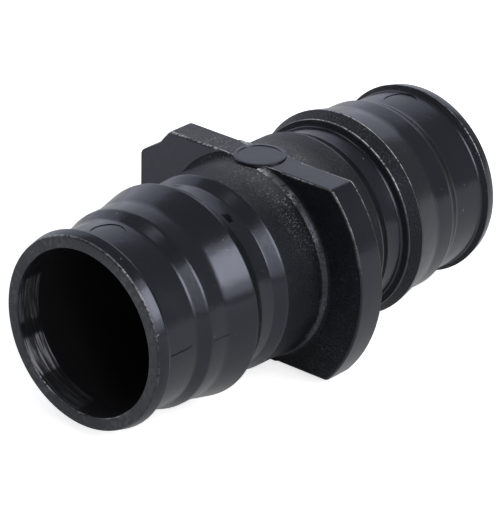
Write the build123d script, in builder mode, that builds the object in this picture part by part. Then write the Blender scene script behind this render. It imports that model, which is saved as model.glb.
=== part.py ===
from build123d import *
import os

os.makedirs("parts", exist_ok=True)

# One moulded coupling for nominal 1 1/2 in PEX tube: a stepped hollow barrel with a flat
# two-winged stop round its middle. Millimetres. The origin is the centre of the bore at the
# middle of the stop, +X runs along the bore, the wings reach out along Y and +Z is up.
# Both ends are alike. The first group of lengths is measured inwards from an end face, and
# the plain body between the shoulders takes up whatever overall length is left.

# ---- driving dimensions: lengths along the bore ----
overall_length = 90.0      # end face to end face
bead_length = 2.2          # end face to the crest of the tip bead
bead_back_length = 0.9     # crest of the tip bead down to the first land
first_ramp_start = 10.2    # end face to the foot of the first ramp
first_ramp_length = 2.4
second_ramp_start = 16.8   # end face to the foot of the long ramp
second_ramp_length = 5.9
crest_width = 0.25         # narrow flat on top of the sealing ring
ring_back_length = 2.2     # sloping back of the sealing ring, crest to lip
lip_width = 0.4            # narrow flat on the lip behind the ring
lip_drop_length = 0.35     # steep drop from the lip to the neck
neck_length = 3.8          # neck between the sealing ring and the shoulder
shoulder_length = 2.5
stop_thickness = 5.8

# ---- driving dimensions: radii and heights ----
bore_radius = 14.8
mouth_radius = 15.1        # the bore opens out slightly over the lead-in
lead_in_length = 4.8
face_radius = 17.35        # outer edge of the flat end face
bead_radius = 17.85
neck_radius = 16.9         # first land and the neck behind the ring
body_radius = 17.95        # second land and the middle body
ring_radius = 19.25        # crest of the sealing ring, the widest circle
lip_radius = 18.1
wing_radius = 26.0         # round ends of the wings
wing_half_height = 18.2    # flats above and below the wings

# ---- driving dimensions: softened corners ----
ramp_rounding = 2.5        # foot of the first ramp and of the shoulder
ramp_top_bevel = 0.5
long_ramp_bevel = 0.7      # foot of the long ramp
face_edge_bevel = 0.2
mouth_bevel = 0.18
bead_foot_bevel = 0.35
neck_bevel = 0.3
stop_root_bevel = 1.1      # where the stop meets the body
wing_edge_bevel = 0.35
wing_corner_rounding = 1.2

# ---- driving dimensions: gate tab, moulding marks and marking pad ----
tab_setback = 0.5          # flat face of the tab, in from the round end of a wing
tab_half_height = 12.5     # height of the tab's outer corners
tab_root_rise = 3.05       # outer corner up to where the tab leaves the round wing end
tab_overlap = 1.0          # how far the tab is drawn into the wing
mark_radius = 3.0          # round moulding mark on top of each first land
mark_depth = 0.12
mark_clearance = 2.0       # height of the cut above the land
mark_station = 6.3         # end face to the centre of the mark
pad_radius = 4.7           # plain round pad on top of the stop
pad_height = 0.3

# ---- derived stations, as distances from the middle of the stop ----
end_x = overall_length / 2
bead_x = end_x - bead_length
land_x = bead_x - bead_back_length
first_foot_x = end_x - first_ramp_start
first_top_x = first_foot_x - first_ramp_length
second_foot_x = end_x - second_ramp_start
crest_outer_x = second_foot_x - second_ramp_length
crest_inner_x = crest_outer_x - crest_width
lip_outer_x = crest_inner_x - ring_back_length
lip_inner_x = lip_outer_x - lip_width
neck_x = lip_inner_x - lip_drop_length
shoulder_foot_x = neck_x - neck_length
shoulder_top_x = shoulder_foot_x - shoulder_length
stop_face_x = stop_thickness / 2
root_disc_radius = body_radius + stop_root_bevel + 1
root_zone = stop_face_x + stop_root_bevel + 1
mark_x = end_x - mark_station

# Half of the wall section, one end, as (distance from the middle, radius) pairs.
section_points = [
    (0, bore_radius),
    (end_x - lead_in_length, bore_radius),
    (end_x, mouth_radius),
    (end_x, face_radius),
    (bead_x, bead_radius),
    (land_x, neck_radius),
    (first_foot_x, neck_radius),
    (first_top_x, body_radius),
    (second_foot_x, body_radius),
    (crest_outer_x, ring_radius),
    (crest_inner_x, ring_radius),
    (lip_outer_x, lip_radius),
    (lip_inner_x, lip_radius),
    (neck_x, neck_radius),
    (shoulder_foot_x, neck_radius),
    (shoulder_top_x, body_radius),
    (stop_face_x, body_radius),
    (stop_face_x, root_disc_radius),
    (0, root_disc_radius),
]

# Corners of the section that are rounded, and corners that take a small bevel.
rounded_corners = [
    (first_foot_x, neck_radius, ramp_rounding),
    (shoulder_foot_x, neck_radius, ramp_rounding),
]
bevelled_corners = [
    (first_top_x, body_radius, ramp_top_bevel),
    (shoulder_top_x, body_radius, ramp_top_bevel),
    (end_x, mouth_radius, mouth_bevel),
    (end_x, face_radius, face_edge_bevel),
    (land_x, neck_radius, bead_foot_bevel),
    (second_foot_x, body_radius, long_ramp_bevel),
    (neck_x, neck_radius, neck_bevel),
    (stop_face_x, body_radius, stop_root_bevel),
]

# The tab: its outer corner, and the point where its sloping edge meets the round wing end.
# The edge is drawn on past that point into the wing.
tab_corner = Vector(wing_radius - tab_setback, tab_half_height)
tab_root_z = tab_half_height + tab_root_rise
tab_root = Vector((wing_radius**2 - tab_root_z**2) ** 0.5, tab_root_z)
tab_inner = tab_root + (tab_root - tab_corner).normalized() * tab_overlap

# Outer corners of the stop, as (Y, Z) pairs.
wing_corner_y = (wing_radius**2 - wing_half_height**2) ** 0.5
stop_corners = [
    (wing_corner_y, wing_half_height),
    (wing_corner_y, -wing_half_height),
    (-wing_corner_y, wing_half_height),
    (-wing_corner_y, -wing_half_height),
    (tab_corner.X, tab_corner.Y),
    (tab_corner.X, -tab_corner.Y),
]

with BuildPart() as stop_plate:
    # A round plate cut flat above and below, which leaves two wings, with a gate tab
    # squaring off the end of the +Y wing.
    with BuildSketch(Plane.YZ) as plate_outline:
        Circle(wing_radius)
        Rectangle(2 * wing_radius, 2 * wing_half_height, mode=Mode.INTERSECT)
        with BuildLine():
            Polyline(
                (0, 0),
                (tab_inner.X, tab_inner.Y),
                (tab_corner.X, tab_corner.Y),
                (tab_corner.X, -tab_corner.Y),
                (tab_inner.X, -tab_inner.Y),
                close=True,
            )
        make_face()
        for corner_y, corner_z in stop_corners:
            corner = plate_outline.vertices().sort_by_distance((corner_y, corner_z, 0))[0]
            fillet(corner, radius=wing_corner_rounding)
    extrude(amount=stop_face_x, both=True)
    chamfer(stop_plate.edges().filter_by(Axis.X, reverse=True), length=wing_edge_bevel)
    Cylinder(
        body_radius - 1,
        2 * stop_thickness,
        rotation=(0, 90, 0),
        mode=Mode.SUBTRACT,
    )

with BuildPart() as mark_cut:
    # Two upright plugs, hollowed from below to the radius of the sunk floor.
    with Locations((mark_x, 0, neck_radius), (-mark_x, 0, neck_radius)):
        Cylinder(mark_radius, 2 * mark_clearance)
    Cylinder(neck_radius - mark_depth, overall_length, rotation=(0, 90, 0), mode=Mode.SUBTRACT)

with BuildPart() as pex_coupling:
    # The wall section is drawn for one end, mirrored, and turned about the bore axis.
    with BuildSketch(Plane.XZ) as section:
        with BuildLine():
            Polyline(*section_points, close=True)
        make_face()
        for corner_x, corner_radius, rounding in rounded_corners:
            corner = section.vertices().sort_by_distance((corner_x, corner_radius, 0))[0]
            fillet(corner, radius=rounding)
        for corner_x, corner_radius, bevel in bevelled_corners:
            corner = section.vertices().sort_by_distance((corner_x, corner_radius, 0))[0]
            chamfer(corner, length=bevel)
        mirror(about=Plane.YZ)
    revolve(axis=Axis.X)

    # The root of the stop ends level with the flats of the wings.
    spare_height = root_disc_radius - wing_half_height + 1
    for side in (1, -1):
        with Locations((0, 0, side * (wing_half_height + spare_height / 2))):
            Box(2 * root_zone, 2 * root_disc_radius, spare_height, mode=Mode.SUBTRACT)
    add(stop_plate.part)

    # Shallow round moulding marks, sunk to an even depth into the tops of the first lands.
    add(mark_cut.part, mode=Mode.SUBTRACT)

    # Plain round pad across the top of the stop.
    pad_base = body_radius - 2
    with BuildSketch(Plane.XY.offset(pad_base)) as pad:
        Circle(pad_radius)
    extrude(amount=wing_half_height + pad_height - pad_base)

pex_coupling.part.label = "pex_coupling"
export_step(pex_coupling.part, "parts/pex_coupling.step")
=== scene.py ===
# %% [markdown]
# A PEX expansion coupling, moulded in one piece in black polymer. Two stepped, hollow barrels
# point away from a flat stop with two wings. The exact solid comes from the CAD frame, and this
# lesson models a finer skin over the same dimensions: soft mould radii, a gate tab, ejector
# marks, a spark-eroded middle and light dust. All lengths are written in millimetres and
# multiplied by MM, because Blender counts in metres.

# %% Load the frame and keep its box
import math
import bmesh
import bpy
from mathutils import Matrix, Vector


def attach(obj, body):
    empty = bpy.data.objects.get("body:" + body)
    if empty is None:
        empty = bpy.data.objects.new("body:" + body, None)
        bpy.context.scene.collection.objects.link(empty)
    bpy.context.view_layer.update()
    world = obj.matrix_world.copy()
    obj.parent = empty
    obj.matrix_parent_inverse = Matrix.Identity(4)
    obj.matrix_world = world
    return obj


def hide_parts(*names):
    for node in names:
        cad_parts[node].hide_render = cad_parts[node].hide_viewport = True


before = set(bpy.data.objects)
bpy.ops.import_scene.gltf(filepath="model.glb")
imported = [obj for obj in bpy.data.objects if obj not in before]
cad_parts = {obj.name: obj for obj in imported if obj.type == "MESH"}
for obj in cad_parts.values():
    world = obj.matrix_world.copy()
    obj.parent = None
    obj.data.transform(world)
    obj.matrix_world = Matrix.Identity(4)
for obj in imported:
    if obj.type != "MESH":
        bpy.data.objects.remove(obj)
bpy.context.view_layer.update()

MM = 0.001

# %% [markdown]
# Almost every step below picks points, edges or faces by their place and then lets one of
# Blender's own tools act on them. A tool acts on everything that is selected, so each helper
# clears the selection first.

# %% Helpers that select by place
def only(piece):
    """Makes one object the selected and active one."""
    if bpy.context.mode != "OBJECT":
        bpy.ops.object.mode_set(mode="OBJECT")
    bpy.ops.object.select_all(action="DESELECT")
    piece.select_set(True)
    bpy.context.view_layer.objects.active = piece


def pick(piece, kind, test):
    """In edit mode, selects the points, edges or faces whose centre passes the test."""
    bpy.ops.mesh.select_mode(type={"verts": "VERT", "edges": "EDGE", "faces": "FACE"}[kind])
    bpy.ops.mesh.select_all(action="DESELECT")
    mesh = bmesh.from_edit_mesh(piece.data)
    chosen = 0
    for part in getattr(mesh, kind):
        if kind == "verts":
            passed = test(part.co)
        elif kind == "edges":
            passed = all(test(point.co) for point in part.verts)
        else:
            passed = test(part.calc_center_median())
        if passed:
            part.select = True
            chosen += 1
    mesh.select_flush_mode()
    bmesh.update_edit_mesh(piece.data)
    return chosen


def near(place, reach=0.02 * MM):
    """A test that a point lies at a place."""
    return lambda co: (co - place).length < reach


# %% [markdown]
# Both the wall of the barrel and the outline of the stop are drawn point by point, as with the
# extrude tool in the viewport: one starting point, then one step for every corner. The last
# point is joined to the first and the loop is filled. Sharp corners are then rounded with the
# vertex bevel, whose reach along each edge is the radius times the tangent of half the turn.

# %% Draw an outline and round its corners
def draw_outline(name, points):
    bpy.ops.object.select_all(action="DESELECT")
    bpy.ops.mesh.primitive_plane_add(size=MM)
    outline = bpy.context.object
    outline.name = name
    only(outline)
    bpy.ops.object.mode_set(mode="EDIT")
    bpy.ops.mesh.select_mode(type="VERT")
    bpy.ops.mesh.select_all(action="SELECT")
    bpy.ops.mesh.merge(type="CENTER")
    bpy.ops.mesh.select_all(action="SELECT")
    bpy.ops.transform.translate(value=points[0])
    for here, there in zip(points, points[1:]):
        bpy.ops.mesh.extrude_region_move(TRANSFORM_OT_translate={"value": there - here})
    pick(outline, "verts", lambda co: near(points[0])(co) or near(points[-1])(co))
    bpy.ops.mesh.edge_face_add()
    bpy.ops.mesh.select_all(action="SELECT")
    bpy.ops.mesh.edge_face_add()
    return outline


def round_corner(outline, points, index, radius, segments):
    before, corner, after = points[index - 1], points[index], points[(index + 1) % len(points)]
    turn = (corner - before).angle(after - corner)
    pick(outline, "verts", near(corner))
    bpy.ops.mesh.bevel(
        offset_type="ABSOLUTE",
        offset=radius * math.tan(turn / 2),
        segments=segments,
        affect="VERTICES",
    )


# %% [markdown]
# The barrel is a turned shape. From the end inwards it has a tip bead that the tube snaps over,
# a land, a short ramp, a second land, a long ramp up to the sealing ring, the sloping back of
# the ring with a small lip, a neck, and a shoulder that leads to the plain middle. Each corner
# has its own mould radius: tight at the lip, wide at the foot of the long ramp. The first land
# also gets a row of closely spaced points, so that the round mark cut into it later only touches
# small faces and the rest of the land keeps its smooth shading. At the stop the section climbs a
# little way up inside it and then steps back, so that nothing of it stands out of the stop's
# softened edges, and the two join into one closed skin.

# %% The wall section of one end
bore_radius = 14.8
land_radius = 16.9
body_radius = 17.95
lip_radius = 18.1
ring_radius = 19.25
end_x = 45.0
root_rounding = 1.5
stop_half_thickness = 2.9
root_x = stop_half_thickness - 0.005
first_row, row_pitch, row_count = 41.3, 0.3, 20
mark_rows = [(first_row - row_pitch * row, land_radius, 0) for row in range(row_count)]
wall = [  # station from the middle, radius, rounding of the corner
    (0.0, bore_radius, 0),
    (40.2, bore_radius, 0),
    (end_x, 15.1, 0.25),
    (end_x, 17.35, 0.42),
    (42.8, 17.85, 0.2),
    (41.9, land_radius, 0.8),
    *mark_rows,
    (34.8, land_radius, 1.6),
    (32.4, body_radius, 1.6),
    (28.2, body_radius, 6.0),
    (22.3, ring_radius, 1.0),
    (22.05, ring_radius, 0.12),
    (19.85, lip_radius, 0.5),
    (19.45, lip_radius, 0.15),
    (19.1, land_radius, 0.5),
    (15.3, land_radius, 0.8),
    (12.8, body_radius, 2.0),
    (root_x, body_radius, root_rounding),
    (root_x, 19.5, 0),
    (2.2, 19.8, 0),
    (0.0, 19.8, 0),
]
wall_points = [Vector((x, 0, r)) * MM for x, r, _ in wall]
barrel = draw_outline("coupling", wall_points)
for index, (_, _, rounding) in enumerate(wall):
    if rounding:
        segments = 4 if rounding < 0.6 else 8
        round_corner(barrel, wall_points, index, rounding * MM, segments)
print("section points", len(bmesh.from_edit_mesh(barrel.data).verts))

# %% [markdown]
# Only the outline is spun, so its filling face goes, and so does the edge on the middle plane,
# where the mirrored half joins. After a full turn the first and last rings lie on each other
# and are merged. The other end is a mirror image.

# %% Spin the section and mirror it
turn_steps = 160
touching = 0.002 * MM
bpy.ops.mesh.select_all(action="SELECT")
bpy.ops.mesh.delete(type="ONLY_FACE")
pick(barrel, "edges", lambda co: abs(co.x) < 0.001 * MM)
bpy.ops.mesh.delete(type="EDGE")
bpy.ops.mesh.select_all(action="SELECT")
bpy.ops.mesh.spin(steps=turn_steps, angle=2 * math.pi, center=(0, 0, 0), axis=(1, 0, 0))
bpy.ops.mesh.select_all(action="SELECT")
bpy.ops.mesh.remove_doubles(threshold=touching)
bpy.ops.mesh.select_all(action="SELECT")
bpy.ops.mesh.normals_make_consistent(inside=False)
only(barrel)
bpy.ops.object.modifier_add(type="MIRROR")
barrel.modifiers[-1].merge_threshold = touching
bpy.ops.object.modifier_apply(modifier=barrel.modifiers[-1].name)
print("barrel faces", len(barrel.data.polygons))

# %% [markdown]
# The rounded root of the stop runs all the way round the barrel, but above and below it is cut
# level with the flats of the wings. Bisect cuts only what is selected, so the middle is picked
# first and the sealing rings stay whole.

# %% Cut the root level with the flats
wing_half_height = 18.2
below_flat = 0.02
root_reach = 4.6
for side in (1, -1):
    only(barrel)
    bpy.ops.object.mode_set(mode="EDIT")
    pick(barrel, "faces", lambda co: abs(co.x) < root_reach * MM)
    bpy.ops.mesh.bisect(
        plane_co=(0, 0, side * (wing_half_height - below_flat) * MM),
        plane_no=(0, 0, side),
        use_fill=True,
        clear_outer=True,
    )
    bpy.ops.object.mode_set(mode="OBJECT")
print("faces after both cuts", len(barrel.data.polygons))

# %% [markdown]
# The stop is a round plate with flats above and below, which leaves two wings. The wing on the
# +Y side carries the gate tab: it squares the round end off. The outline is drawn the same way,
# with its round parts stepped every two degrees, then given its thickness by one extrusion.

# %% Draw the stop and give it its thickness
wing_radius = 26.0
tab_reach = 25.5
tab_half_height = 12.5
tab_root_z = 15.55
corner_radius = 1.2
edge_softening = 0.42


def arc(start, end, step=2.0):
    """Points on the round wing end, as (y, z), between two angles in degrees from +Y."""
    count = max(2, round(abs(end - start) / step))
    angles = [math.radians(start + (end - start) * i / count) for i in range(count + 1)]
    return [(wing_radius * math.cos(a), wing_radius * math.sin(a)) for a in angles]


flat_angle = math.degrees(math.asin(wing_half_height / wing_radius))
root_angle = math.degrees(math.asin(tab_root_z / wing_radius))
bulge_angle = math.degrees(math.acos(tab_reach / wing_radius))
upper = arc(flat_angle, root_angle) + [(tab_reach, tab_half_height)]
lower = [(y, -z) for y, z in reversed(upper)]
outline_yz = upper + arc(bulge_angle, -bulge_angle) + lower
outline_yz += arc(flat_angle - 180, -flat_angle - 180)
outline_points = [Vector((-stop_half_thickness, y, z)) * MM for y, z in outline_yz]


def is_corner(y, z):
    """The ends of the flats and the outer corners of the gate tab."""
    ends_flat = abs(abs(z) - wing_half_height) < 0.01
    ends_tab = abs(abs(z) - tab_half_height) < 0.01 and y > 25
    return ends_flat or ends_tab


stop = draw_outline("stop", outline_points)
corners = 0
for index, (y, z) in enumerate(outline_yz):
    if is_corner(y, z):
        round_corner(stop, outline_points, index, corner_radius * MM, 6)
        corners += 1
print("outline points", len(outline_points), "corners rounded", corners)
bpy.ops.mesh.select_all(action="SELECT")
bpy.ops.mesh.extrude_region_move(
    TRANSFORM_OT_translate={"value": (2 * stop_half_thickness * MM, 0, 0)}
)
bpy.ops.mesh.select_all(action="SELECT")
bpy.ops.mesh.normals_make_consistent(inside=False)
for side in (1, -1):
    face_x = side * stop_half_thickness * MM
    pick(stop, "edges", lambda co: abs(co.x - face_x) < 0.001 * MM)
    bpy.ops.mesh.bevel(offset=edge_softening * MM, segments=3, affect="EDGES")
only(stop)

# %% [markdown]
# A boolean modifier joins or cuts two closed shapes. The tool shape is only a helper, so it is
# removed once the modifier is applied.

# %% Join and cut with helper shapes
def combine(piece, tool, operation):
    only(piece)
    bpy.ops.object.modifier_add(type="BOOLEAN")
    joint = piece.modifiers[-1]
    joint.operation = operation
    joint.solver = "EXACT"
    joint.object = tool
    bpy.ops.object.modifier_apply(modifier=joint.name)
    bpy.data.objects.remove(tool)


def round_bar(name, radius, depth, location, rotation=(0, 0, 0), vertices=96):
    bpy.ops.object.select_all(action="DESELECT")
    bpy.ops.mesh.primitive_cylinder_add(
        vertices=vertices, radius=radius * MM, depth=depth * MM,
        location=Vector(location) * MM, rotation=rotation,
    )
    bar = bpy.context.object
    bar.name = name
    bpy.ops.object.transform_apply(location=True, rotation=True, scale=True)
    return bar


along_x = (0, math.pi / 2, 0)
hole_radius = 16.4  # inside the thickness of the wall, so the hole's edge is hidden
stop_hole = round_bar("stop_hole", hole_radius, 20, (0, 0, 0), along_x, turn_steps)
combine(stop, stop_hole, "DIFFERENCE")
combine(barrel, stop, "UNION")
print("barrel and stop", len(barrel.data.polygons))

# %% [markdown]
# A plain round pad crosses the top of the stop. It starts as a cylinder. Its top edge is
# softened, and its top is inset and let down a little, as a moulded pad is.

# %% Pad
pad_radius = 4.7
pad_depth = 2.6
pad_top = 18.5
pad = round_bar("pad", pad_radius, pad_depth, (0, 0, pad_top - pad_depth / 2))
bpy.ops.object.mode_set(mode="EDIT")
pick(pad, "edges", lambda co: abs(co.z - pad_top * MM) < 0.001 * MM)
bpy.ops.mesh.bevel(offset=0.2 * MM, segments=3, affect="EDGES")
pick(pad, "faces", lambda co: abs(co.z - pad_top * MM) < 0.001 * MM)
bpy.ops.mesh.inset(thickness=0.55 * MM)
bpy.ops.mesh.inset(thickness=0.1 * MM)
bpy.ops.transform.translate(value=(0, 0, -0.12 * MM))
only(pad)
print("pad faces", len(pad.data.polygons))
combine(barrel, pad, "UNION")

# %% [markdown]
# A round ejector pin leaves a shallow mark on top of each first land. The cutting plug stands on
# the land, and its underside is first cut to the round floor of the mark, so the mark has the
# same depth all over although the land is curved.

# %% Ejector marks
mark_station = 38.7
mark_radius = 3.0
mark_depth = 0.12
for side in (1, -1):
    plug = round_bar("mark", mark_radius, 4.0, (side * mark_station, 0, land_radius))
    mark_floor = round_bar("mark_floor", land_radius - mark_depth, 100, (0, 0, 0), along_x, turn_steps)
    combine(plug, mark_floor, "DIFFERENCE")
    combine(barrel, plug, "DIFFERENCE")
print("coupling faces", len(barrel.data.polygons))

# %% [markdown]
# Soft corners are shaded smooth and sharp ones stay sharp, by their angle. A boolean leaves long
# thin faces on the flats of the stop, which would pull the shading of their rounded edges, so in
# the middle zone the larger faces are given more weight.

# %% Shading
smooth_below = math.radians(28)
only(barrel)
bpy.ops.object.shade_smooth_by_angle(angle=smooth_below)
bpy.ops.object.mode_set(mode="EDIT")
pick(barrel, "verts", lambda co: abs(co.x) < root_reach * MM)
bpy.ops.object.vertex_group_add()
barrel.vertex_groups[-1].name = "stop_zone"
bpy.ops.object.vertex_group_assign()
only(barrel)
bpy.ops.object.modifier_add(type="WEIGHTED_NORMAL")
barrel.modifiers[-1].keep_sharp = True
barrel.modifiers[-1].vertex_group = "stop_zone"
bpy.ops.object.modifier_apply(modifier=barrel.modifiers[-1].name)
print("sharp edges", sum(edge.use_edge_sharp for edge in barrel.data.edges))

# %% [markdown]
# The polymer is black and satin. Effects such as dust and grain appear in several finishes with
# different strengths, so each is a node group, built once and placed in every finish that needs
# it. Three helpers place a node, set up a node that maps one range to another, and start a group.

# %% Node helpers
def add_node(tree, kind, place, **values):
    """Adds a node; a value is one of its settings or, failing that, one of its inputs."""
    node = tree.nodes.new(kind)
    node.location = place
    for key, value in values.items():
        if hasattr(node, key):
            setattr(node, key, value)
        else:
            node.inputs[key].default_value = value
    return node


def remap(tree, place, source=(0.0, 1.0), target=(0.0, 1.0), interpolation_type="LINEAR"):
    node = add_node(tree, "ShaderNodeMapRange", place, interpolation_type=interpolation_type)
    for label, value in zip(("From Min", "From Max", "To Min", "To Max"), (*source, *target)):
        node.inputs[label].default_value = value
    return node


def new_group(name, inputs, outputs):
    group = bpy.data.node_groups.new(name, "ShaderNodeTree")
    for label, kind, value in inputs:
        socket = group.interface.new_socket(label, in_out="INPUT", socket_type=kind)
        if value is not None:
            socket.default_value = value
    for label, kind in outputs:
        group.interface.new_socket(label, in_out="OUTPUT", socket_type=kind)
    enter = group.nodes.new("NodeGroupInput")
    enter.location = (-800, 0)
    leave = group.nodes.new("NodeGroupOutput")
    leave.location = (800, 0)
    return group, enter, leave


# %% [markdown]
# Dust is made of pale flecks that gather in patches; on the spark-textured middle and the worn
# edges the same flecks are also painted glints. A fine noise gives the flecks: where it is above
# a threshold, there is dust. A slow noise thins them out from place to place, which keeps the
# dust from looking like an even print.

# %% Dust and painted glint group
dust_and_glints, enter, leave = new_group(
    "dust_and_glints",
    [("Vector", "NodeSocketVector", None), ("Fineness", "NodeSocketFloat", 1000.0),
     ("Threshold", "NodeSocketFloat", 0.6)],
    [("Mask", "NodeSocketFloat")],
)
flecks = add_node(dust_and_glints, "ShaderNodeTexNoise", (-500, 100), Detail=3.0, Roughness=0.6)
patches = add_node(dust_and_glints, "ShaderNodeTexNoise", (-500, -200), Scale=170.0, Detail=3.0)
full = add_node(dust_and_glints, "ShaderNodeMath", (-300, -50), operation="ADD")
full.inputs[1].default_value = 0.06
fleck = remap(dust_and_glints, (100, 100))
sparse = remap(dust_and_glints, (-100, -300), (0.40, 0.62), (0.12, 1.0))
both = add_node(dust_and_glints, "ShaderNodeMath", (400, 0), operation="MULTIPLY")
dust_and_glints.links.new(enter.outputs["Vector"], flecks.inputs["Vector"])
dust_and_glints.links.new(enter.outputs["Fineness"], flecks.inputs["Scale"])
dust_and_glints.links.new(enter.outputs["Vector"], patches.inputs["Vector"])
dust_and_glints.links.new(enter.outputs["Threshold"], full.inputs[0])
dust_and_glints.links.new(flecks.outputs[0], fleck.inputs["Value"])
dust_and_glints.links.new(enter.outputs["Threshold"], fleck.inputs["From Min"])
dust_and_glints.links.new(full.outputs[0], fleck.inputs["From Max"])
dust_and_glints.links.new(patches.outputs[0], sparse.inputs["Value"])
dust_and_glints.links.new(fleck.outputs[0], both.inputs[0])
dust_and_glints.links.new(sparse.outputs[0], both.inputs[1])
dust_and_glints.links.new(both.outputs[0], leave.inputs["Mask"])

# %% [markdown]
# The mould leaves a fine grain on the polymer, and a turning tool leaves lines. Both are one
# noise that gives the height for a bump: even in all directions it is a grain, and drawn out
# round the axis it becomes turning lines.

# %% Grain group
grain, enter, leave = new_group(
    "moulding_grain",
    [("Vector", "NodeSocketVector", None), ("Scale", "NodeSocketFloat", 700.0),
     ("Along", "NodeSocketFloat", 1.0), ("Around", "NodeSocketFloat", 1.0)],
    [("Height", "NodeSocketFloat")],
)
stretch = add_node(grain, "ShaderNodeCombineXYZ", (-500, -200))
stretched = add_node(grain, "ShaderNodeVectorMath", (-250, 0), operation="MULTIPLY")
pattern = add_node(grain, "ShaderNodeTexNoise", (100, 0), Detail=4.0, Roughness=0.6)
grain.links.new(enter.outputs["Along"], stretch.inputs["X"])
grain.links.new(enter.outputs["Around"], stretch.inputs["Y"])
grain.links.new(enter.outputs["Around"], stretch.inputs["Z"])
grain.links.new(enter.outputs["Vector"], stretched.inputs[0])
grain.links.new(stretch.outputs[0], stretched.inputs[1])
grain.links.new(stretched.outputs[0], pattern.inputs["Vector"])
grain.links.new(enter.outputs["Scale"], pattern.inputs["Scale"])
grain.links.new(pattern.outputs[0], leave.inputs["Height"])

# %% [markdown]
# In the turned mouth, light and reflections are painted in a few sectors and not all round. A
# sector is a range of angles round the bore axis. The angle of a point comes from its Y and Z,
# and the mask fades out softly on both sides of the sector.

# %% Painted light sector group
window, enter, leave = new_group(
    "painted_light_sector",
    [("Vector", "NodeSocketVector", None), ("Middle", "NodeSocketFloat", 0.0),
     ("Half Width", "NodeSocketFloat", 0.3)],
    [("Mask", "NodeSocketFloat")],
)
parts = add_node(window, "ShaderNodeSeparateXYZ", (-600, 0))
below = add_node(window, "ShaderNodeMath", (-450, -150), operation="MULTIPLY")
below.inputs[1].default_value = -1.0
angle = add_node(window, "ShaderNodeMath", (-300, 0), operation="ARCTAN2")
offset = add_node(window, "ShaderNodeMath", (-100, 0), operation="SUBTRACT")
distance = add_node(window, "ShaderNodeMath", (100, 0), operation="ABSOLUTE")
beyond = add_node(window, "ShaderNodeMath", (300, 0), operation="SUBTRACT")
edge = remap(window, (500, 0), (-0.03, 0.03), (1.0, 0.0), "SMOOTHSTEP")
window.links.new(enter.outputs["Vector"], parts.inputs[0])
window.links.new(parts.outputs["Z"], below.inputs[0])
window.links.new(below.outputs[0], angle.inputs[0])
window.links.new(parts.outputs["Y"], angle.inputs[1])
window.links.new(angle.outputs[0], offset.inputs[0])
window.links.new(enter.outputs["Middle"], offset.inputs[1])
window.links.new(offset.outputs[0], distance.inputs[0])
window.links.new(distance.outputs[0], beyond.inputs[0])
window.links.new(enter.outputs["Half Width"], beyond.inputs[1])
window.links.new(beyond.outputs[0], edge.inputs["Value"])
window.links.new(edge.outputs[0], leave.inputs["Mask"])

# %% [markdown]
# A few short dark stains lie along the barrel on its -Y side. Each is a narrow range of stations
# and heights, and a noise bends its edges, so that it looks like a smear and not like a ruled
# line.

# %% Stain group
stain, enter, leave = new_group(
    "stain",
    [("Vector", "NodeSocketVector", None), ("Station", "NodeSocketFloat", 0.0),
     ("Half Length", "NodeSocketFloat", 0.002), ("Height", "NodeSocketFloat", 0.0),
     ("Half Width", "NodeSocketFloat", 0.0002)],
    [("Mask", "NodeSocketFloat")],
)
wobble = add_node(stain, "ShaderNodeTexNoise", (-800, -300), Scale=600.0, Detail=4.0)
centred = add_node(stain, "ShaderNodeVectorMath", (-600, -300), operation="SUBTRACT")
centred.inputs[1].default_value = (0.5, 0.5, 0.5)
reach = add_node(stain, "ShaderNodeMath", (-600, -500), operation="MULTIPLY")
reach.inputs[1].default_value = 5.0
shift = add_node(stain, "ShaderNodeVectorMath", (-400, -300), operation="SCALE")
bent = add_node(stain, "ShaderNodeVectorMath", (-200, -100), operation="ADD")
parts = add_node(stain, "ShaderNodeSeparateXYZ", (0, 0))
within = add_node(stain, "ShaderNodeMath", (200, -200), operation="COMPARE")
along = add_node(stain, "ShaderNodeMath", (200, 0), operation="COMPARE")
front = add_node(stain, "ShaderNodeMath", (200, 200), operation="LESS_THAN")
front.inputs[1].default_value = 0.0
pair = add_node(stain, "ShaderNodeMath", (400, 0), operation="MULTIPLY")
all_three = add_node(stain, "ShaderNodeMath", (600, 0), operation="MULTIPLY")
stain.links.new(enter.outputs["Vector"], wobble.inputs["Vector"])
stain.links.new(wobble.outputs["Color"], centred.inputs[0])
stain.links.new(enter.outputs["Half Width"], reach.inputs[0])
stain.links.new(centred.outputs[0], shift.inputs[0])
stain.links.new(reach.outputs[0], shift.inputs["Scale"])
stain.links.new(enter.outputs["Vector"], bent.inputs[0])
stain.links.new(shift.outputs[0], bent.inputs[1])
stain.links.new(bent.outputs[0], parts.inputs[0])
stain.links.new(parts.outputs["Z"], within.inputs[0])
stain.links.new(enter.outputs["Height"], within.inputs[1])
stain.links.new(enter.outputs["Half Width"], within.inputs[2])
stain.links.new(parts.outputs["X"], along.inputs[0])
stain.links.new(enter.outputs["Station"], along.inputs[1])
stain.links.new(enter.outputs["Half Length"], along.inputs[2])
stain.links.new(parts.outputs["Y"], front.inputs[0])
stain.links.new(within.outputs[0], pair.inputs[0])
stain.links.new(along.outputs[0], pair.inputs[1])
stain.links.new(pair.outputs[0], all_three.inputs[0])
stain.links.new(front.outputs[0], all_three.inputs[1])
stain.links.new(all_three.outputs[0], leave.inputs["Mask"])
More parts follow.
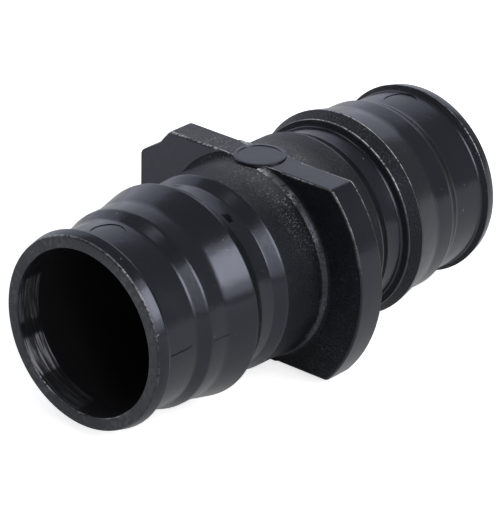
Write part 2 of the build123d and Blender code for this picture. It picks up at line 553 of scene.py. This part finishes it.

# %% [markdown]
# Dust settles on what looks up. This group keeps the whole of a dust mask where the surface is
# level, keeps only a share of it on the sides, and adds a thin even pale layer to the level
# parts, which is a painted sheen that stands in for the reflection on the tops.

# %% Dust and painted top sheen group
dust_and_top_sheen, enter, leave = new_group(
    "dust_and_top_sheen",
    [("Normal", "NodeSocketVector", None), ("Mask", "NodeSocketFloat", 0.0),
     ("Side Share", "NodeSocketFloat", 1.0), ("Painted Top Sheen", "NodeSocketFloat", 0.0)],
    [("Mask", "NodeSocketFloat")],
)
parts = add_node(dust_and_top_sheen, "ShaderNodeSeparateXYZ", (-600, 0))
upward = remap(dust_and_top_sheen, (-400, 0), (0.25, 0.85))
share = remap(dust_and_top_sheen, (-150, 100))
level = remap(dust_and_top_sheen, (-400, -300), (0.7, 1.0), (0.0, 1.0), "SMOOTHSTEP")
# a thin pale layer on level faces: painted sheen on the tops
top_sheen = add_node(dust_and_top_sheen, "ShaderNodeMath", (-150, -200), operation="MULTIPLY")
kept = add_node(dust_and_top_sheen, "ShaderNodeMath", (150, 0), operation="MULTIPLY_ADD")
dust_and_top_sheen.links.new(enter.outputs["Normal"], parts.inputs[0])
dust_and_top_sheen.links.new(parts.outputs["Z"], upward.inputs["Value"])
dust_and_top_sheen.links.new(upward.outputs[0], share.inputs["Value"])
dust_and_top_sheen.links.new(enter.outputs["Side Share"], share.inputs["To Min"])
dust_and_top_sheen.links.new(parts.outputs["Z"], level.inputs["Value"])
dust_and_top_sheen.links.new(level.outputs[0], top_sheen.inputs[0])
dust_and_top_sheen.links.new(enter.outputs["Painted Top Sheen"], top_sheen.inputs[1])
dust_and_top_sheen.links.new(enter.outputs["Mask"], kept.inputs[0])
dust_and_top_sheen.links.new(share.outputs[0], kept.inputs[1])
dust_and_top_sheen.links.new(top_sheen.outputs[0], kept.inputs[2])
dust_and_top_sheen.links.new(kept.outputs[0], leave.inputs["Mask"])
print("node groups", [group.name for group in bpy.data.node_groups])

# %% [markdown]
# Every zone of the coupling is the same black polymer with another surface: smooth on the
# barrels, spark-textured in the middle, turned in the mouths and rubbed along the edges, where
# paler flecks are also painted highlights. So one function makes them all, each with its own
# gloss, grain and dust, and on some a painted sheen. Black polymer shows mostly what it
# reflects, and a cool tint on the reflection gives it its blue-black tone.

# %% One function for all the finishes
cool_tint = (0.78, 0.82, 1.0, 1)
gloss_spread = 0.04


def polymer(name, colour, roughness, specular, grain_values, grain_height, dust_and_sheen_values, dust_and_highlight_colour):
    """Grain is scale, along, around; dust is fineness, threshold, side share, painted sheen."""
    material = bpy.data.materials.new(name)
    material.use_nodes = True
    tree = material.node_tree
    shader = tree.nodes["Principled BSDF"]
    shader.inputs["Specular IOR Level"].default_value = specular
    shader.inputs["Specular Tint"].default_value = cool_tint
    place = add_node(tree, "ShaderNodeTexCoord", (-1200, 0))
    place.name = "place"
    relief = add_node(tree, "ShaderNodeGroup", (-900, -300), node_tree=grain)
    slow = add_node(tree, "ShaderNodeTexNoise", (-900, 0), Scale=120.0, Detail=4.0)
    specks = add_node(tree, "ShaderNodeGroup", (-900, 300), node_tree=dust_and_glints)
    dust_and_sheen = add_node(tree, "ShaderNodeGroup", (-700, 300), node_tree=dust_and_top_sheen)
    for label, value in zip(("Scale", "Along", "Around"), grain_values):
        relief.inputs[label].default_value = value
    for label, value in zip(("Fineness", "Threshold"), dust_and_sheen_values):
        specks.inputs[label].default_value = value
    for label, value in zip(("Side Share", "Painted Top Sheen"), dust_and_sheen_values[2:]):
        dust_and_sheen.inputs[label].default_value = value
    for node in (relief, slow, specks):
        tree.links.new(place.outputs["Object"], node.inputs["Vector"])
    tree.links.new(place.outputs["Normal"], dust_and_sheen.inputs["Normal"])
    tree.links.new(specks.outputs["Mask"], dust_and_sheen.inputs["Mask"])
    tint = add_node(tree, "ShaderNodeMix", (-500, 300), data_type="RGBA")
    tint.name = "tint"
    tint.inputs[6].default_value = (*colour, 1)
    tint.inputs[7].default_value = (*dust_and_highlight_colour, 1)
    tree.links.new(dust_and_sheen.outputs["Mask"], tint.inputs["Factor"])
    tree.links.new(tint.outputs[2], shader.inputs["Base Color"])
    gloss_range = (roughness - gloss_spread, roughness + gloss_spread)
    rough = remap(tree, (-500, 0), (0.3, 0.7), gloss_range)
    tree.links.new(slow.outputs[0], rough.inputs["Value"])
    tree.links.new(rough.outputs[0], shader.inputs["Roughness"])
    bump = add_node(
        tree, "ShaderNodeBump", (-300, -300), Distance=grain_height * MM, Strength=1.0)
    tree.links.new(relief.outputs["Height"], bump.inputs["Height"])
    tree.links.new(bump.outputs[0], shader.inputs["Normal"])
    return material


# %% The finishes
black = (0.0066, 0.0070, 0.0086)
worn_black = (0.010, 0.010, 0.011)
pale = (0.30, 0.30, 0.32)
smooth = polymer(
    "smooth_black_polymer", black, 0.21, 0.5,
    (260, 1, 1), 0.05, (1100, 0.71, 1.0, 0.0), pale)
# On the spark-textured middle the pale flecks are partly dust and partly painted glints.
textured = polymer(
    "spark_textured_black_polymer", black, 0.42, 0.19,
    (2600, 1, 1), 0.22, (3000, 0.56, 0.2, 0.26), (0.19, 0.19, 0.20))
# Worn edges, whose pale flecks also serve as painted highlights along rims, roots, lip, ring and bead.
worn_and_highlit = polymer(
    "worn_and_painted_highlight_edge_polymer", worn_black, 0.28, 0.5,
    (900, 1, 1), 0.03, (1900, 0.43, 0.07, 0.06), (0.55, 0.55, 0.57))
turned = polymer(
    "turned_black_polymer", worn_black, 0.35, 0.5,
    (2200, 1, 0.03), 0.20, (900, 0.72, 1.0, 0.0), pale)
deep = polymer(
    "deep_bore_black_polymer", (0.012, 0.012, 0.013), 0.5, 0.1,
    (500, 1, 1), 0.01, (300, 1, 0, 0), pale)
# The end faces get a lighter copy of the black polymer: painted light that makes them greyer than the
# barrel.
painted_light_end_face = polymer(
    "end_face_painted_lighter_polymer", (0.024, 0.024, 0.025), 0.34, 0.5,
    (1100, 1, 1), 0.05, (1000, 0.48, 1.0, 0.0), (0.060, 0.060, 0.063))
wing = polymer(
    "wing_face_polymer", black, 0.26, 0.9,
    (700, 1, 1), 0.03, (900, 0.69, 1.0, 0.0), pale)
finishes = (smooth, textured, turned, deep, worn_and_highlit, painted_light_end_face, wing)
print("finishes", [finish.name for finish in finishes])

# %% [markdown]
# On the textured middle the pale flecks and the painted sheen are strongest beside the stop. The
# distance from the middle plane is mapped to a share, which scales the flecks and the painted
# sheen of that finish.

# %% Dust and painted sheen beside the stop
tree = textured.node_tree
place = tree.nodes["place"]
parts = add_node(tree, "ShaderNodeSeparateXYZ", (-1000, 600))
station = add_node(tree, "ShaderNodeMath", (-800, 600), operation="ABSOLUTE")
near_stop = remap(tree, (-600, 600), (6.0 * MM, 9.5 * MM), (1.0, 0.3))
near_stop_share = add_node(tree, "ShaderNodeMath", (-400, 600), operation="MULTIPLY")
tree.links.new(place.outputs["Object"], parts.inputs[0])
tree.links.new(parts.outputs["X"], station.inputs[0])
tree.links.new(station.outputs[0], near_stop.inputs["Value"])
tree.links.new(near_stop.outputs[0], near_stop_share.inputs[0])
mixed = tree.nodes["tint"].inputs["Factor"]
tree.links.new(mixed.links[0].from_socket, near_stop_share.inputs[1])
tree.links.new(near_stop_share.outputs[0], mixed)

# %% [markdown]
# Three stains follow the parting line of the mould, and one lies on the neck. A stained spot
# reflects less. Black can't be painted darker, but a metal reflects only its own colour, so a
# large share of Metallic on the black polymer dulls its reflection there.

# %% Stains on the smooth barrel
stain_labels = ("Station", "Half Length", "Height", "Half Width")
stains = [
    (-38.8, 2.7, 0.2, 0.15),
    (-30.0, 2.0, -0.1, 0.09),
    (-20.0, 2.0, 0.1, 0.09),
    (-17.6, 0.7, 14.6, 0.45),
]
tree = smooth.node_tree
place = tree.nodes["place"]
total = None
for sizes in stains:
    spot = add_node(tree, "ShaderNodeGroup", (-900, 700), node_tree=stain)
    for label, value in zip(stain_labels, sizes):
        spot.inputs[label].default_value = value * MM
    tree.links.new(place.outputs["Object"], spot.inputs["Vector"])
    if total is None:
        total = spot.outputs["Mask"]
    else:
        joined = add_node(tree, "ShaderNodeMath", (-700, 700), operation="MAXIMUM")
        tree.links.new(total, joined.inputs[0])
        tree.links.new(spot.outputs["Mask"], joined.inputs[1])
        total = joined.outputs[0]
dulled = add_node(tree, "ShaderNodeMath", (-300, 600), operation="MULTIPLY")
dulled.inputs[1].default_value = 0.82
tree.links.new(total, dulled.inputs[0])
tree.links.new(dulled.outputs[0], tree.nodes["Principled BSDF"].inputs["Metallic"])

# %% [markdown]
# In the mouth three sectors are painted paler, as painted light and reflections in the bore,
# with streaks that follow the turning lines. Each sector mixes its own colour over what is there
# already. The streaks are the grain group once more, drawn out round the axis and raised in
# contrast.

# %% Painted light in the turned mouth: middle and half width in degrees, and the painted colour
painted_mouth_lights = [(-4, 16, 0.13), (36, 13, 0.44), (67, 17, 0.05)]
tree = turned.node_tree
place = tree.nodes["place"]
streaks = add_node(tree, "ShaderNodeGroup", (-900, 900), node_tree=grain)
for label, value in (("Scale", 2600.0), ("Along", 1.0), ("Around", 0.05)):
    streaks.inputs[label].default_value = value
contrast = remap(tree, (-700, 900), (0.48, 0.60), (0.08, 1.0))
tree.links.new(place.outputs["Object"], streaks.inputs["Vector"])
tree.links.new(streaks.outputs["Height"], contrast.inputs["Value"])
before = tree.nodes["tint"].outputs[2]
for middle, half_width, colour in painted_mouth_lights:
    sector = add_node(tree, "ShaderNodeGroup", (-700, 700), node_tree=window)
    sector.inputs["Middle"].default_value = math.radians(middle)
    sector.inputs["Half Width"].default_value = math.radians(half_width)
    share = add_node(tree, "ShaderNodeMath", (-500, 700), operation="MULTIPLY")
    # each sector paints its paler colour over the mouth as painted light and reflection
    painted_light_mix = add_node(tree, "ShaderNodeMix", (-300, 700), data_type="RGBA")
    painted_light_mix.inputs[7].default_value = (colour, colour, colour * 1.06, 1)
    tree.links.new(place.outputs["Object"], sector.inputs["Vector"])
    tree.links.new(sector.outputs["Mask"], share.inputs[0])
    tree.links.new(contrast.outputs[0], share.inputs[1])
    tree.links.new(share.outputs[0], painted_light_mix.inputs["Factor"])
    tree.links.new(before, painted_light_mix.inputs[6])
    before = painted_light_mix.outputs[2]
tree.links.new(before, tree.nodes["Principled BSDF"].inputs["Base Color"])

# %% [markdown]
# The whole coupling starts in the smooth finish, and each other finish goes to the faces that
# pass its test of place. A later zone wins over an earlier one. The inner faces of the gate wing
# are polished, and those of the other wing are spark-textured as the middle is.

# %% Tests of place for the zones
def off_axis(co):
    return math.hypot(co.y, co.z)


def on_pad(co):
    return co.z > 0 and math.hypot(co.x, co.y) < (pad_radius + 0.05) * MM


def on_body(co):
    around = 17.2 * MM < off_axis(co) < 19.5 * MM and abs(co.z) < 18.1 * MM
    return abs(co.x) < 12.7 * MM and around and not on_pad(co)


def on_gate_flat(co):
    return abs(co.x) < 2.6 * MM and co.y > 5 * MM and co.z > 18.1 * MM


def on_dull_back(co):
    """The backs of the ring and the bead at the +X end, with the lip."""
    x, r = co.x / MM, off_axis(co) / MM
    return (19.15 < x < 22.0 or 41.95 < x < 42.6) and r > 16.95


def on_wing_face(co):
    return abs(abs(co.x) - stop_half_thickness * MM) < 0.02 * MM and off_axis(co) > 18 * MM


def on_texture(co):
    plain_wing = on_wing_face(co) and co.y < 0
    return on_body(co) or plain_wing or on_gate_flat(co) or on_dull_back(co)


# Worn edges that are also painted paler as highlights.
def on_worn_and_highlit_edge(co):
    """Rims of the wing, roots of the stop, rims of the mouths, and +X lip, ring and bead."""
    x, r = co.x / MM, off_axis(co) / MM
    beside_wing = 2.55 < abs(x) < 2.88 and co.z > 5 * MM and r > 18.3
    root = 3.2 < abs(x) < 4.0 and co.y < 2 * MM and 17.9 < r < 19.4
    mouth = 44.7 < abs(x) < 44.99
    lip = 19.7 < x < 20.0 and r > 17.9
    ring = 21.9 < x < 22.2 and r > 19.1
    bead = 42.6 < x < 42.95 and r > 17.7
    return (beside_wing or root or mouth or lip or ring or bead) and not on_pad(co)


# %% Give each zone its finish
mouth_x = 40.25
zones = [
    (textured, on_texture),
    (turned, lambda co: off_axis(co) < 15.09 * MM and abs(co.x) > mouth_x * MM),
    (deep, lambda co: off_axis(co) < 15.0 * MM and abs(co.x) < mouth_x * MM),
    (worn_and_highlit, on_worn_and_highlit_edge),
    (painted_light_end_face, lambda co: abs(co.x) > (end_x - 0.01) * MM),
    (wing, lambda co: on_wing_face(co) and co.y > 0),
]
barrel.data.materials.append(smooth)
only(barrel)
bpy.ops.object.mode_set(mode="EDIT")
for index, (finish, test) in enumerate(zones):
    barrel.data.materials.append(finish)
    count = pick(barrel, "faces", test)
    barrel.active_material_index = index + 1
    bpy.ops.object.material_slot_assign()
    print(finish.name, count, "faces")
only(barrel)
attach(barrel, "root")
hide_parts("pex_coupling")

# %% [markdown]
# The coupling lies on a white floor that turns up into a low white wall behind it. Black satin
# polymer shows mostly what it reflects, so the softbox and the wall draw its shape: the softbox
# gives the bright patches on the ramps, and the wall lights the tops of the lands. The wall's
# glow is faintly blue, which gives the polymer its cool tone.

# %% White paper
def paper(name, colour, glow_colour, camera_lift, gloss_lift):
    """White paper that looks a little brighter to the camera and to gloss than its own light."""
    material = bpy.data.materials.new(name)
    material.use_nodes = True
    tree = material.node_tree
    shader = tree.nodes["Principled BSDF"]
    shader.inputs["Base Color"].default_value = (*colour, 1)
    shader.inputs["Roughness"].default_value = 0.9
    shader.inputs["Specular IOR Level"].default_value = 0.0
    out = tree.nodes["Material Output"]
    rays = add_node(tree, "ShaderNodeLightPath", (-800, 300))
    mirrored = add_node(tree, "ShaderNodeMath", (-600, 200), operation="MAXIMUM")
    gloss = add_node(tree, "ShaderNodeMath", (-400, 200), operation="MULTIPLY")
    seen = add_node(tree, "ShaderNodeMath", (-400, 400), operation="MULTIPLY")
    strength = add_node(tree, "ShaderNodeMath", (-200, 300), operation="ADD")
    glow = add_node(tree, "ShaderNodeEmission", (0, 300))
    glow.inputs["Color"].default_value = (*glow_colour, 1)
    total = add_node(tree, "ShaderNodeAddShader", (300, 100))
    tree.links.new(rays.outputs["Is Glossy Ray"], mirrored.inputs[0])
    tree.links.new(rays.outputs["Is Transmission Ray"], mirrored.inputs[1])
    tree.links.new(mirrored.outputs[0], gloss.inputs[0])
    gloss.inputs[1].default_value = gloss_lift
    tree.links.new(rays.outputs["Is Camera Ray"], seen.inputs[0])
    seen.inputs[1].default_value = camera_lift
    tree.links.new(seen.outputs[0], strength.inputs[0])
    tree.links.new(gloss.outputs[0], strength.inputs[1])
    tree.links.new(strength.outputs[0], glow.inputs["Strength"])
    tree.links.new(shader.outputs[0], total.inputs[0])
    tree.links.new(glow.outputs[0], total.inputs[1])
    tree.links.new(total.outputs[0], out.inputs["Surface"])
    return material


# %% Floor
floor_z = -ring_radius * MM
bpy.ops.object.select_all(action="DESELECT")
bpy.ops.mesh.primitive_plane_add(size=8, location=(0, 0, floor_z))
floor = bpy.context.object
floor.name = "floor"
floor_paper = paper("floor_paper", (0.86, 0.86, 0.86), (1, 1, 1), 0.75, 0.06)
floor.data.materials.append(floor_paper)
bpy.ops.object.transform_apply(location=True)
print("floor at", round(floor_z, 5))

# %% [markdown]
# The wall is part of a wide open cylinder. Only the part behind the coupling is kept, so the wall
# takes no light from the softboxes at the front.

# %% Backdrop
wall_radius = 2.2
wall_height = 2.0
bpy.ops.object.select_all(action="DESELECT")
bpy.ops.mesh.primitive_cylinder_add(
    vertices=96, radius=wall_radius, depth=wall_height, end_fill_type="NOTHING",
    location=(0, 0, floor_z + wall_height / 2),
)
wall_paper = bpy.context.object
wall_paper.name = "backdrop"
bpy.ops.object.transform_apply(location=True)
only(wall_paper)
bpy.ops.object.mode_set(mode="EDIT")
behind = Vector((0.76, 0.65, 0))


def beside_view(co):
    """The part of the wall in front of the coupling, or far round to the side."""
    return co.y < 0.22 or Vector((co.x, co.y, 0)).normalized().dot(behind) < 0.2


pick(wall_paper, "faces", beside_view)
bpy.ops.mesh.delete(type="FACE")
only(wall_paper)
blue_glow = (0.92, 0.96, 1.12)
wall_paper.data.materials.append(paper("backdrop_paper", (0.82, 0.85, 0.94), blue_glow, 0.8, 0.52))
print("backdrop faces", len(wall_paper.data.polygons))

# %% [markdown]
# The key stands at the front right and fairly high. It is a bright softbox in front of a larger
# and dimmer one, so its reflection fades towards its edges. Two weak boxes fill from the left and
# from above, and the world gives a dim, even grey.

# %% Lights
world = bpy.data.worlds.new("studio")
bpy.context.scene.world = world
world.use_nodes = True
background = world.node_tree.nodes["Background"]
background.inputs["Color"].default_value = (0.30, 0.30, 0.32, 1)
background.inputs["Strength"].default_value = 1.0


def softbox(name, direction, distance, width, height, power):
    lamp = bpy.data.lights.new(name, "AREA")
    lamp.shape = "RECTANGLE"
    lamp.size = width
    lamp.size_y = height
    lamp.energy = power
    light = bpy.data.objects.new(name, lamp)
    bpy.context.collection.objects.link(light)
    direction = Vector(direction).normalized()
    light.location = direction * distance
    light.rotation_euler = direction.to_track_quat("Z", "Y").to_euler()
    print(name, "at", [round(v, 2) for v in light.location])
    return light


softbox("key_softbox", (0.26, -0.80, 0.53), 1.1, 0.46, 0.56, 3.6)
softbox("key_spill", (0.20, -0.83, 0.51), 1.15, 0.72, 1.06, 5.2)
softbox("front_softbox", (-0.47, -0.75, 0.50), 1.2, 0.20, 0.70, 2.2)
softbox("overhead_softbox", (-0.22, 0.25, 0.94), 1.2, 0.38, 0.80, 1.5)

# %% [markdown]
# The camera stands well back with a long lens, so the two ends keep nearly the same scale.

# %% Camera
azimuth, elevation, roll = (math.radians(v) for v in (-49.473, 25.133, 1.106))
back = Vector((
    math.sin(azimuth) * math.cos(elevation),
    -math.cos(azimuth) * math.cos(elevation),
    math.sin(elevation),
))
level_right = Vector((math.cos(azimuth), math.sin(azimuth), 0))
level_up = back.cross(level_right)
right = level_right * math.cos(roll) + level_up * math.sin(roll)
up = back.cross(right)
camera_data = bpy.data.cameras.new("camera")
camera_data.lens = 270.06
camera_data.sensor_width = 36
camera_data.shift_x = -0.015577
camera_data.shift_y = -0.018077
camera_data.clip_start = 0.05
camera = bpy.data.objects.new("camera", camera_data)
bpy.context.collection.objects.link(camera)
camera_distance = 0.6846
turned_to_view = Matrix((right, up, back)).transposed().to_4x4()
camera.matrix_world = Matrix.Translation(back * camera_distance) @ turned_to_view
print("camera at", [round(v, 3) for v in camera.location])
bpy.context.scene.camera = camera
bpy.context.scene.view_settings.view_transform = "Standard"
